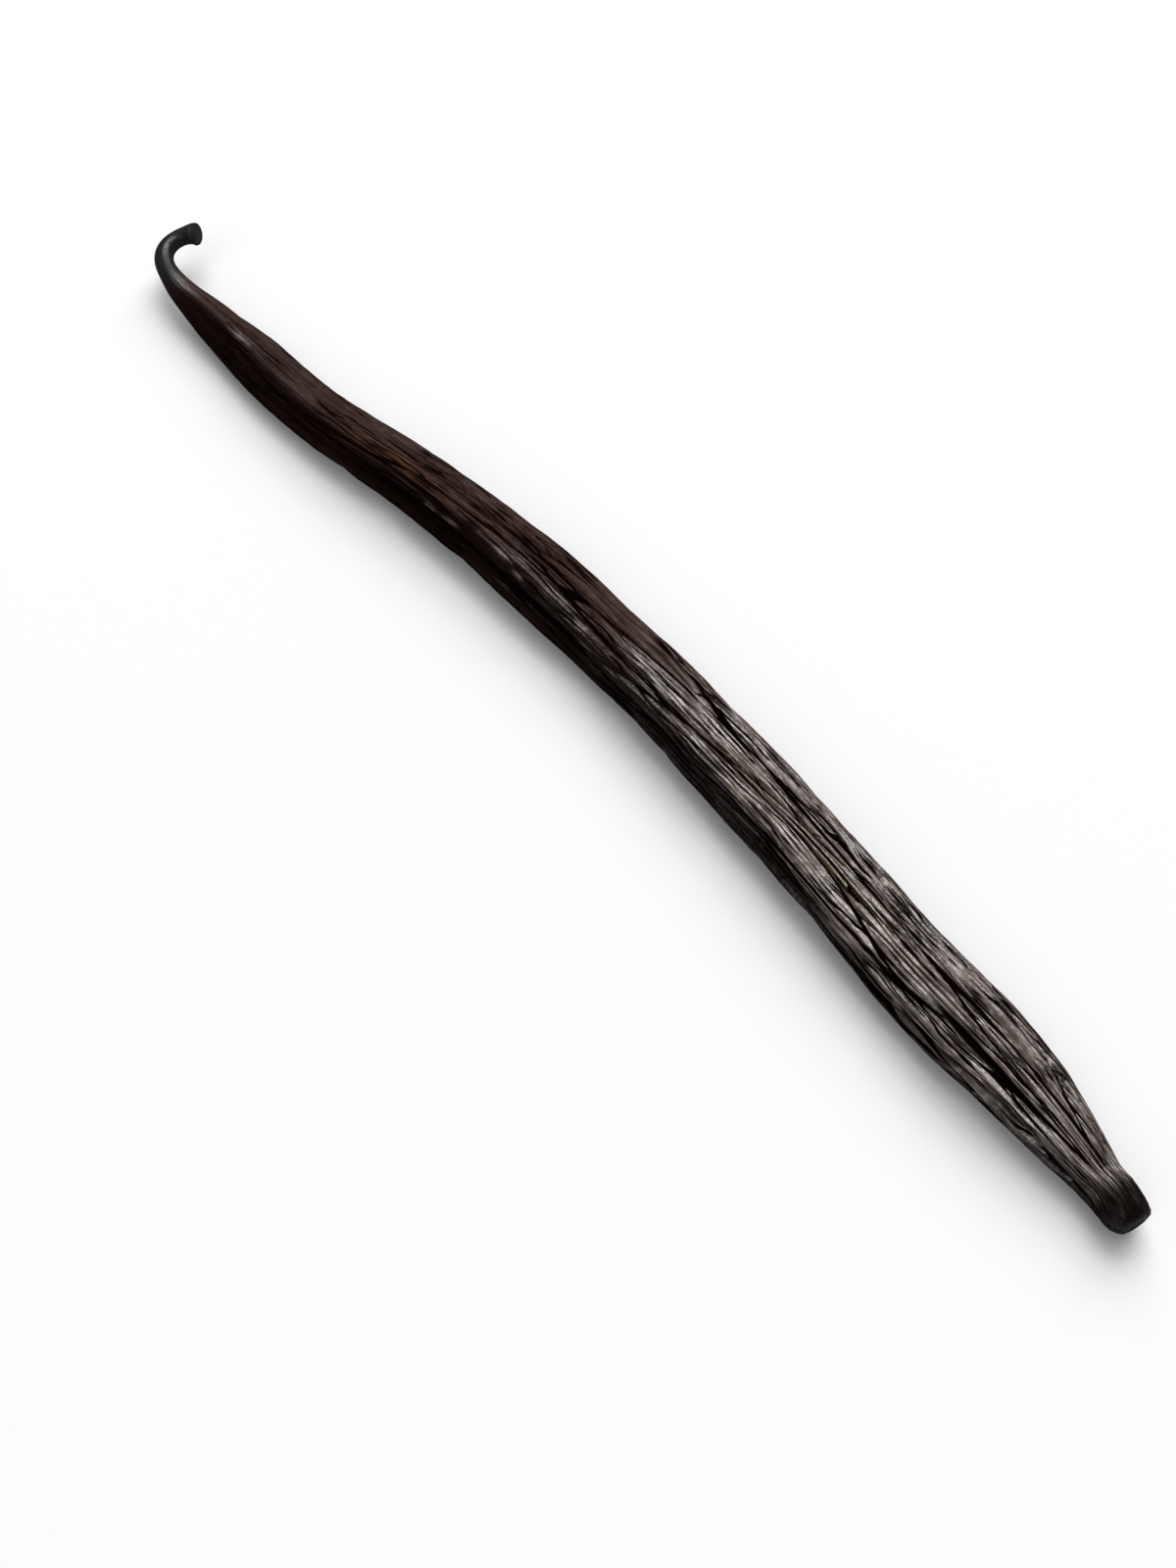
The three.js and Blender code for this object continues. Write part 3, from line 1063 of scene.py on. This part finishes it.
    def colour(self, sketch: Sketch, mottle: Socket, tone: Socket, deep: Socket) -> Socket:
        """Lays the skin's colours over one another, from the plain brown to the dark ends.

        Args:
            sketch: The material's sketch.
            mottle: The output of the skin's mottling.
            tone: The output of the fine cells' own shades.
            deep: The output of the near-black lines, partly painted shade at the bottoms of the furrows, and
                of the painted shade in the deep folds.

        Returns:
            The colour's output.
        """
        glint_noise = self.glint_noise.draw(sketch)
        ragged = sketch.span(mottle, *self.tint_edge)
        # Painted sheen: the oily skin gets the pale colour, broken up by the cells, the mottling and the
        # glint noise.
        painted_sheen = sketch.times(
            sketch.span(tone, *self.tone_pales),
            sketch.span(mottle, *self.mottle_pales),
            sketch.span(glint_noise, *self.glint_noise_sheen),
            sketch.mask("gloss"),
        )
        layers = (
            (sketch.span(self.drift.draw(sketch), *self.drift_warms), self.warm),
            (painted_sheen, self.pale),
            (sketch.times(sketch.mask("olive"), ragged), self.olive),
            (sketch.times(sketch.mask("amber"), ragged), self.amber),
            # Painted glints: light grey spots where the glint noise is high, on the oily skin.
            (sketch.times(sketch.span(glint_noise, *self.painted_glints_show), sketch.mask("gloss")), self.painted_glint),
            (sketch.mask("red"), self.red),
            # Painted shade on the steep flank below the crest.
            (sketch.mask("shade"), self.shade),
            # Near-black lines, partly painted shade in the furrows, and the painted shade in the folds.
            (deep, self.furrow),
            # The dark knob at the blossom end, and painted shade on the near side of the tip.
            (sketch.mask("tip"), self.tip),
            (sketch.mask("stem"), self.stem),
        )
        # Painted shade towards the stem end: the darker upper colour gives way to the body colour along the
        # pod.
        colour = sketch.mix(sketch.mask("stem_shade_fade"), self.upper, self.body)
        for cover, layer in layers:
            colour = sketch.mix(cover, colour, layer)
        return colour

    def build(self) -> bpy.types.Material:
        """Makes the material.

        Returns:
            The finished skin.
        """
        material, sketch, shader = self.start()
        gloss = sketch.mask("gloss")
        dark_line, fine_line, tone = self.lines(sketch)
        # Where the near-black colour goes: the lines, partly painted shade, and the painted shade in the
        # folds.
        deep = sketch.chain("MAXIMUM", dark_line, sketch.mask("fold"))
        grain = self.grain.draw(sketch)
        mottle = self.mottle.draw(sketch)
        rough = sketch.plus(
            sketch.span(mottle, *self.rough),
            sketch.times(deep, self.furrow_rough),
            sketch.times(sketch.less(1.0, gloss), self.dull_rough),
        )
        speckled = sketch.times(sketch.span(grain, *self.grain_oily), sketch.span(mottle, *self.mottle_oily))
        height = sketch.plus(
            sketch.times(fine_line, self.fibre_sunk),
            sketch.times(tone, self.tone_raised),
            sketch.times(dark_line, self.line_sunk),
            sketch.times(grain, self.grain_raised),
        )
        sockets = {
            "Base Color": self.colour(sketch, mottle, tone, deep),
            "Roughness": rough,
            "Coat Weight": sketch.times(gloss, sketch.less(1.0, deep), speckled),
            "Specular IOR Level": self.specular,
            "Coat Roughness": self.oil_rough,
            "Coat IOR": self.oil_ior,
            "Normal": sketch.bump(height),
        }
        for name, value in sockets.items():
            sketch.feed(shader, name, value)
        return material


@dataclass(frozen=True)
class CutStem(Finish):
    """Dry fibrous face where the stem was cut."""

    name: str = "cut stem fibre"
    dark: Colour = (0.004, 0.003, 0.003, 1.0)
    fibre: Colour = (0.022, 0.017, 0.015, 1.0)
    fibres: Fibres = Fibres(2.0, 2400.0, 0.3)
    line_sunk: float = -0.00006
    rough: Span = (0.3, 0.7, 0.55, 0.8)
    specular: float = 0.1

    def build(self) -> bpy.types.Material:
        """Makes the material.

        Returns:
            The finished cut face.
        """
        material, sketch, shader = self.start()
        fibres = self.fibres.draw(sketch).outputs
        sketch.feed(shader, "Base Color", sketch.mix(fibres["Line"], self.fibre, self.dark))
        sketch.feed(shader, "Normal", sketch.bump(sketch.times(fibres["Line"], self.line_sunk)))
        sketch.feed(shader, "Roughness", sketch.span(fibres["Tone"], *self.rough))
        sketch.feed(shader, "Specular IOR Level", self.specular)
        return material


@dataclass(frozen=True)
class PaleFloor(Finish):
    """Matt white paper under the pod."""

    name: str = "pale floor"
    colour: Colour = (0.8, 0.8, 0.805, 1.0)
    cloudy: Colour = (0.74, 0.74, 0.75, 1.0)
    cloud_scale: float = 9.0
    cloud: Span = (0.3, 0.7, 0.0, 0.03)
    rough: float = 0.9
    specular: float = 0.2

    def build(self) -> bpy.types.Material:
        """Makes the material.

        Returns:
            The finished floor.
        """
        material, sketch, shader = self.start()
        noise = sketch.noise(sketch.add("ShaderNodeTexCoord").outputs["Object"], self.cloud_scale, 2.0)
        shade = sketch.mix(sketch.span(noise, *self.cloud), self.colour, self.cloudy)
        sketch.feed(shader, "Base Color", shade)
        sketch.feed(shader, "Roughness", self.rough)
        sketch.feed(shader, "Specular IOR Level", self.specular)
        return material


# ----------------------------
# The pod
# ----------------------------


def add_object(name: str, data: bpy.types.ID) -> bpy.types.Object:
    """Makes an object of some data and shows it in the scene.

    Args:
        name: The object's name.
        data: Its mesh, light or camera.

    Returns:
        The new object.
    """
    made = bpy.data.objects.new(name, data)
    bpy.context.scene.collection.objects.link(made)
    return made


def read_rows(items: bpy.types.bpy_prop_collection, name: str) -> Array:
    """Reads a vector of each of a mesh's items.

    Args:
        items: The mesh's vertices or faces.
        name: The vector's name.

    Returns:
        One row of x, y and z for each item.
    """
    values = np.empty(len(items) * 3)
    items.foreach_get(name, values)
    return values.reshape(-1, 3)


class Surface(Enum):
    """The pod's material slots, in order."""

    SKIN = 0
    CUT = 1


@dataclass(frozen=True)
class Sheen:
    """How oily the skin is: it rises along the pod on each of its faces, and lies in patches on the crest.
    The oiliness sets the coat and also paints a pale sheen, a painted highlight, into the skin's colour.

    Each face is told by the places where its oiliness starts and ends to rise, and its least oiliness.
    """

    broad_face: tuple[float, float, float] = (92.0, 128.0, 0.05)
    crest: tuple[float, float, float] = (66.0, 114.0, 0.12)
    flank: tuple[float, float, float] = (84.0, 130.0, 0.15)
    crest_spread: float = 17.0
    flank_from: Range = (-6.0, 22.0)
    # Less oil along the far edge, so a duller coat and less painted sheen there, which darkens the edge as
    # painted shade.
    dull_edge_turn: float = 5.0
    dull_edge_spread: float = 34.0
    dull_edge: float = 0.6
    patches: tuple[Patch, ...] = (
        Patch("shine on the hook", 4.5, 75, 3, 26),
        Patch("shine on the neck", 12.5, 100, 2.4, 24),
        Patch("first shine", 27, 96, 1.6, 8),
        Patch("shine on the upper crest", 88, 131, 3, 8),
        Patch("shine above the hollow", 101, 92, 3.2, 13),
        Patch("shine on the middle crest", 108, 104, 5, 14),
        Patch("shine on the broad face", 114, 75, 4.5, 14),
        Patch("shine at the gathers", 118, 146, 3, 10),
    )

    def along(self, rise: tuple[float, float, float], place: Array) -> Array:
        """One face's oiliness at each place, from its least to 1."""
        start, end, least = rise
        return least + (1 - least) * ease(start, end, place)

    def strength(self, spots: Spots, crest: Array) -> Array:
        """Works out the oiliness of each spot.

        Args:
            spots: The spots to judge.
            crest: The crest's turn at each place.

        Returns:
            One number from 0, dull, to 1, oily.
        """
        away = spots.past(crest)
        broad = self.along(self.broad_face, spots.place)
        sides = broad + (self.along(self.flank, spots.place) - broad) * ease(*self.flank_from, away)
        oil = sides + (self.along(self.crest, spots.place) - sides) * hill(away, self.crest_spread)
        oil = oil * (1 - self.dull_edge * hill(spots.past(self.dull_edge_turn), self.dull_edge_spread))
        return np.clip(oil + covered(self.patches, spots), 0.0, 1.0)


@dataclass
class VanillaPod:
    """The whole pod: one closed skin from the cut stem to the blossom end.

    The end faces' outlines pair a share of the section with a distance from their end of the pod. The
    stretches between them each have a name, the place where they end and a number of rows.
    """

    form: PodForm = PodForm()
    faces_around: int = 344
    first_row: float = 0.3
    stretches: tuple[tuple[str, float, int], ...] = (
        ("hook and stem", 13.0, 40),
        ("body above the pinched place", 115.0, 126),
        ("pinched place", 124.0, 30),
        ("body below the pinched place", 158.0, 46),
        ("taper", 175.4, 30),
    )
    cut_face: tuple[Range, ...] = ((0.0, 0.55), (0.6, 0.35), (0.93, 0.02))
    cut_widest: float = 0.96
    cut_furthest: float = 1.0
    blossom_face: tuple[Range, ...] = ((0.98, 1.1), (0.91, 0.5), (0.77, 0.16), (0.5, 0.02), (0.0, 0.3))
    olive: tuple[Patch, ...] = (
        Patch("olive patch", 134.5, 99, 8, 12),
        Patch("pale scab", 54.4, 113, 0.8, 5),
        Patch("smaller scab", 52.6, 117, 0.5, 3.5),
    )
    amber: tuple[Patch, ...] = (
        Patch("amber patch", 59, 116, 9, 18),
        Patch("small amber patch", 118, 101, 4.5, 9),
    )
    # Small oily spots that get a full coat and a painted glint in the skin's colour, and lose the flank's
    # painted shade.
    oily_glint_spots: tuple[Patch, ...] = (
        Patch("first oily glint spot", 66, 137, 0.8, 4),
        Patch("second oily glint spot", 69.5, 134, 1, 4),
        Patch("third oily glint spot", 78, 119, 1.1, 5),
        Patch("fourth oily glint spot", 81.5, 127, 0.8, 4),
        Patch("fifth oily glint spot", 92, 121, 0.9, 5),
        Patch("sixth oily glint spot", 94, 139, 1.4, 3),
    )
    stem_dark_to: Range = (8.0, 15.0)
    tip_dark_from: Range = (172.2, 174.4)
    # Painted shade on the near side of the tip, in the tip's dark colour.
    tip_painted_shade_side: Patch = Patch("dark side of the tip", 172, 190, 9, 42)
    tip_gloss: float = 0.22
    # Where the steep flank's painted shade starts round the pod along its length, and how far and how
    # strongly it lies.
    flank_turns: tuple[Range, ...] = (
        (15, 95),
        (50, 110),
        (90, 116),
        (105, 119),
        (118, 134),
        (132, 153),
        (150, 180),
    )
    flank_edge: float = 12.0
    flank_reach: Range = (90.0, 140.0)
    flank_shade: float = 0.95
    flank_dull: float = 0.7
    # Where the painted shade of the stem end fades out along the pod.
    stem_shade_fades: Range = (50.0, 118.0)
    sheen: Sheen = Sheen()

    def profile(self) -> list[Range]:
        """Sets out the unit form's outline.

        Returns:
            Pairs of share of the section and place along the pod, from the cut's middle to the tip's.
        """
        outline = list(self.cut_face)
        start = self.first_row
        for _, end, rows in self.stretches:
            outline += [(1.0, start + (end - start) * row / rows) for row in range(rows)]
            start = end
        outline.append((1.0, start))
        return outline + [(share, self.form.line.length - inset) for share, inset in self.blossom_face]

    def unit_form(self) -> bpy.types.Mesh:
        """Spins the outline into a straight closed form of radius 1 along +Z.

        Returns:
            The new mesh.
        """
        made = bmesh.new()
        (share, place), *rest = self.profile()
        tip = made.verts.new((share, 0.0, place))
        for share, place in rest:
            tip = bmesh.ops.extrude_vert_indiv(made, verts=[tip])["verts"][0]
            tip.co = (share, 0.0, place)
        bmesh.ops.spin(
            made,
            geom=made.verts[:] + made.edges[:],
            cent=(0.0, 0.0, 0.0),
            axis=(0.0, 0.0, 1.0),
            angle=2.0 * math.pi,
            steps=self.faces_around,
            use_merge=True,
        )
        poles = [vertex for vertex in made.verts if math.hypot(vertex.co.x, vertex.co.y) < POLE_SHARE]
        bmesh.ops.remove_doubles(made, verts=poles, dist=POLE_SHARE / 10)
        bmesh.ops.recalc_face_normals(made, faces=made.faces[:])
        made.verts.index_update()
        count = len(made.verts)
        made.faces.sort(key=lambda face: face.verts[0].index * count + face.verts[1].index)
        mesh = bpy.data.meshes.new(NODE + "_skin")
        made.to_mesh(mesh)
        made.free()
        return mesh

    def centring(self, spots: Spots, share: Array) -> Array:
        """Finds the move that sets the main form into the frame's own box.

        Args:
            spots: The skin's places and turns.
            share: Shares of the full section.

        Returns:
            The move in millimetres.
        """
        plain = self.form.skin(spots, share, fine=False)
        low, high = (np.array(corner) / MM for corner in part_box(NODE))
        move = (low + high) / 2 - (plain.min(axis=0) + plain.max(axis=0)) / 2
        move[2] = 0.0
        return move

    def on_glint_spots(self, spots: Spots) -> Array:
        """How much of a small oily spot with a painted glint lies on each spot, from 0 to 1."""
        return np.clip(covered(self.oily_glint_spots, spots), 0.0, 1.0)

    def gloss(self, spots: Spots) -> Array:
        """Works out how oily the skin is, with its dull flank, its small oily spots and its dull tip. The
        oiliness also sets the painted sheen in the skin's colour.

        Args:
            spots: The spots to judge.

        Returns:
            One number from 0, dull, to 1, oily.
        """
        shine = self.sheen.strength(spots, self.form.crest(spots.place))
        shine = np.maximum(shine * (1 - self.flank_dull * self.shade(spots)), self.on_glint_spots(spots))
        return shine + (self.tip_gloss - shine) * ease(*self.tip_dark_from, spots.place)

    def shade(self, spots: Spots) -> Array:
        """Works out the painted shade on the steep flank below the crest.

        Args:
            spots: The spots to judge.

        Returns:
            One number from 0, as bright as the rest, to 1, dark.
        """
        past = spots.past(np.interp(spots.place, *zip(*self.flank_turns)))
        flank = ease(-self.flank_edge, self.flank_edge, past) * (1 - ease(*self.flank_reach, past))
        return self.flank_shade * flank * (1 - self.on_glint_spots(spots))

    def write_attributes(self, mesh: bpy.types.Mesh, spots: Spots, straight: Array) -> None:
        """Gives the mesh what its materials read.

        Args:
            mesh: The pod's mesh.
            spots: The vertices' places and turns.
            straight: The straightened skin, one row for each vertex, in millimetres.
        """
        values = self.form.relief(spots).marks | {
            "stem": 1 - ease(*self.stem_dark_to, spots.place),
            "tip": np.maximum(ease(*self.tip_dark_from, spots.place), self.tip_painted_shade_side.strength(spots)),
            "gloss": self.gloss(spots),
            "stem_shade_fade": ease(*self.stem_shade_fades, spots.place),
            "shade": self.shade(spots),
            "red": self.form.red_hollow.strength(spots),
            "olive": covered(self.olive, spots),
            "amber": covered(self.amber, spots),
        }
        for name, value in values.items():
            mesh.attributes.new(name, "FLOAT", "POINT").data.foreach_set("value", value.astype(np.float32))
        made = mesh.attributes.new(PLACE_ATTRIBUTE, "FLOAT_VECTOR", "POINT")
        made.data.foreach_set("vector", (straight * MM).astype(np.float32).ravel())

    def dress(self, mesh: bpy.types.Mesh, is_cut: Array) -> None:
        """Gives the mesh its finishes.

        Args:
            mesh: The pod's mesh.
            is_cut: Whether each face is part of the cut.
        """
        skin = PodSkin(creases=self.form.creases.around, threads=self.form.threads.around)
        for finish in (skin, CutStem()):
            mesh.materials.append(finish.build())
        slots = np.where(is_cut, Surface.CUT.value, Surface.SKIN.value).astype(np.int32)
        mesh.polygons.foreach_set("material_index", slots)
        mesh.polygons.foreach_set("use_smooth", np.ones(len(mesh.polygons), dtype=bool))

    def build(self) -> bpy.types.Object:
        """Makes the pod and dresses it.

        Returns:
            The pod's object.
        """
        mesh = self.unit_form()
        x, y, place = read_rows(mesh.vertices, "co").T
        share = np.hypot(x, y)
        share[share < POLE_SHARE] = 0.0
        spots = Spots(place, np.degrees(np.arctan2(y, x)) % FULL_TURN)
        skin = self.form.skin(spots, share, fine=True) + self.centring(spots, share)
        radians = np.radians(spots.turn)
        sideways = share * GRAIN_WIDTH / 2 * np.cos(radians)
        upward = share * GRAIN_THICKNESS / 2 * np.sin(radians)
        self.write_attributes(mesh, spots, np.stack((place, sideways, upward), axis=1))
        x, y, middle = read_rows(mesh.polygons, "center").T
        self.dress(mesh, (middle < self.cut_furthest) & (np.hypot(x, y) < self.cut_widest))
        mesh.vertices.foreach_set("co", (skin * MM).ravel())
        mesh.update()
        pod = add_object("pod_skin_fine", mesh)
        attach(pod, BODY)
        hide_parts(NODE)
        LOG.info("%s: %d faces", pod.name, len(mesh.polygons))
        return pod


# ----------------------------
# The studio
# ----------------------------


def stand_back(
    thing: bpy.types.Object, middle: Vector, azimuth: float, elevation: float, distance: float
) -> None:
    """Stands a light or the camera away from a spot and turns it to that spot.

    Args:
        thing: The light or the camera.
        middle: The spot.
        azimuth: Where it stands round the spot, in degrees from +X towards +Y.
        elevation: How far above the floor's level it is seen from the spot, in degrees.
        distance: How far away it stands, in metres.
    """
    azimuth, elevation = math.radians(azimuth), math.radians(elevation)
    flat = math.cos(elevation)
    away = Vector((math.cos(azimuth) * flat, math.sin(azimuth) * flat, math.sin(elevation)))
    thing.location = middle + away * distance
    thing.rotation_mode = "QUATERNION"
    thing.rotation_quaternion = away.to_track_quat("Z", "Y")


@dataclass(frozen=True)
class Softbox:
    """A rectangular light told by where it stands as seen from the pod, in metres and degrees."""

    name: str
    azimuth: float
    elevation: float
    width: float
    height: float
    radiance: float
    distance: float = 4.0

    def build(self) -> bpy.types.Object:
        """Hangs the light and turns it to the pod.

        Returns:
            The light's object.
        """
        data = bpy.data.lights.new(self.name, "AREA")
        data.shape = "RECTANGLE"
        data.size = self.width
        data.size_y = self.height
        data.energy = self.radiance * math.pi * self.width * self.height
        light = add_object(self.name, data)
        stand_back(light, Vector(), self.azimuth, self.elevation, self.distance)
        light.visible_camera = False
        LOG.info("%s: %.1f W", self.name, data.energy)
        return light


@dataclass
class Studio:
    """Floor, soft lights, sky and camera. Floor and lights are in metres, the camera in millimetres."""

    floor_reach: float = 1.6
    floor_drop: float = 0.00002
    floor_sides: int = 96
    sky: Colour = (1.0, 1.0, 1.0, 1.0)
    sky_strength: float = 0.2
    sky_seen: float = 0.75
    lights: tuple[Softbox, ...] = (
        Softbox("key softbox", azimuth=126.0, elevation=48.0, width=3.6, height=3.8, radiance=4.8),
        Softbox("overhead softbox", azimuth=0.0, elevation=88.0, width=2.0, height=2.0, radiance=2.0),
        Softbox("front softbox", azimuth=-70.0, elevation=42.0, width=3.0, height=3.0, radiance=1.4),
    )
    look_at: tuple[float, float, float] = (14.84, -10.85, 0.0)
    camera_azimuth: float = -39.28
    camera_elevation: float = 55.0
    camera_distance: float = 199.71
    lens: float = 42.5
    sensor: float = 36.0
    clip: Range = (0.01, 20.0)

    def build_floor(self) -> bpy.types.Object:
        """Lays the floor.

        Returns:
            The floor's object.
        """
        made = bmesh.new()
        bmesh.ops.create_circle(made, cap_ends=True, segments=self.floor_sides, radius=self.floor_reach)
        bmesh.ops.translate(made, verts=made.verts[:], vec=(0.0, 0.0, -self.floor_drop))
        mesh = bpy.data.meshes.new("floor")
        made.to_mesh(mesh)
        made.free()
        mesh.materials.append(PaleFloor().build())
        floor = add_object("floor", mesh)
        return floor

    def build_sky(self) -> None:
        """Lights the room softly from all round, and shows the camera a paler sky than it lights with."""
        world = bpy.data.worlds.new("studio")
        world.use_nodes = True
        background = world.node_tree.nodes["Background"]
        sketch = Sketch(world.node_tree)
        seen = sketch.times(sketch.add("ShaderNodeLightPath").outputs["Is Camera Ray"], self.sky_seen)
        sketch.feed(background, "Color", self.sky)
        sketch.feed(background, "Strength", sketch.plus(seen, self.sky_strength))
        bpy.context.scene.world = world

    def build_camera(self) -> bpy.types.Object:
        """Sets the camera up.

        Returns:
            The camera's object.
        """
        data = bpy.data.cameras.new("camera")
        data.lens = self.lens
        data.sensor_width = self.sensor
        data.sensor_fit = "AUTO"
        data.clip_start, data.clip_end = self.clip
        camera = add_object("camera", data)
        middle = Vector(self.look_at) * MM
        stand_back(camera, middle, self.camera_azimuth, self.camera_elevation, self.camera_distance * MM)
        bpy.context.scene.camera = camera
        return camera

    def build(self) -> None:
        """Makes the whole studio."""
        self.build_floor()
        self.build_sky()
        for light in self.lights:
            light.build()
        self.build_camera()
        bpy.context.scene.view_settings.view_transform = "Standard"
        LOG.info("studio: %d lights", len(self.lights))


def main() -> None:
    """Builds the pod and its studio in order."""
    logging.basicConfig(level=logging.INFO, format="%(name)s: %(message)s")
    VanillaPod().build()
    Studio().build()


if __name__ == "__main__":
    main()
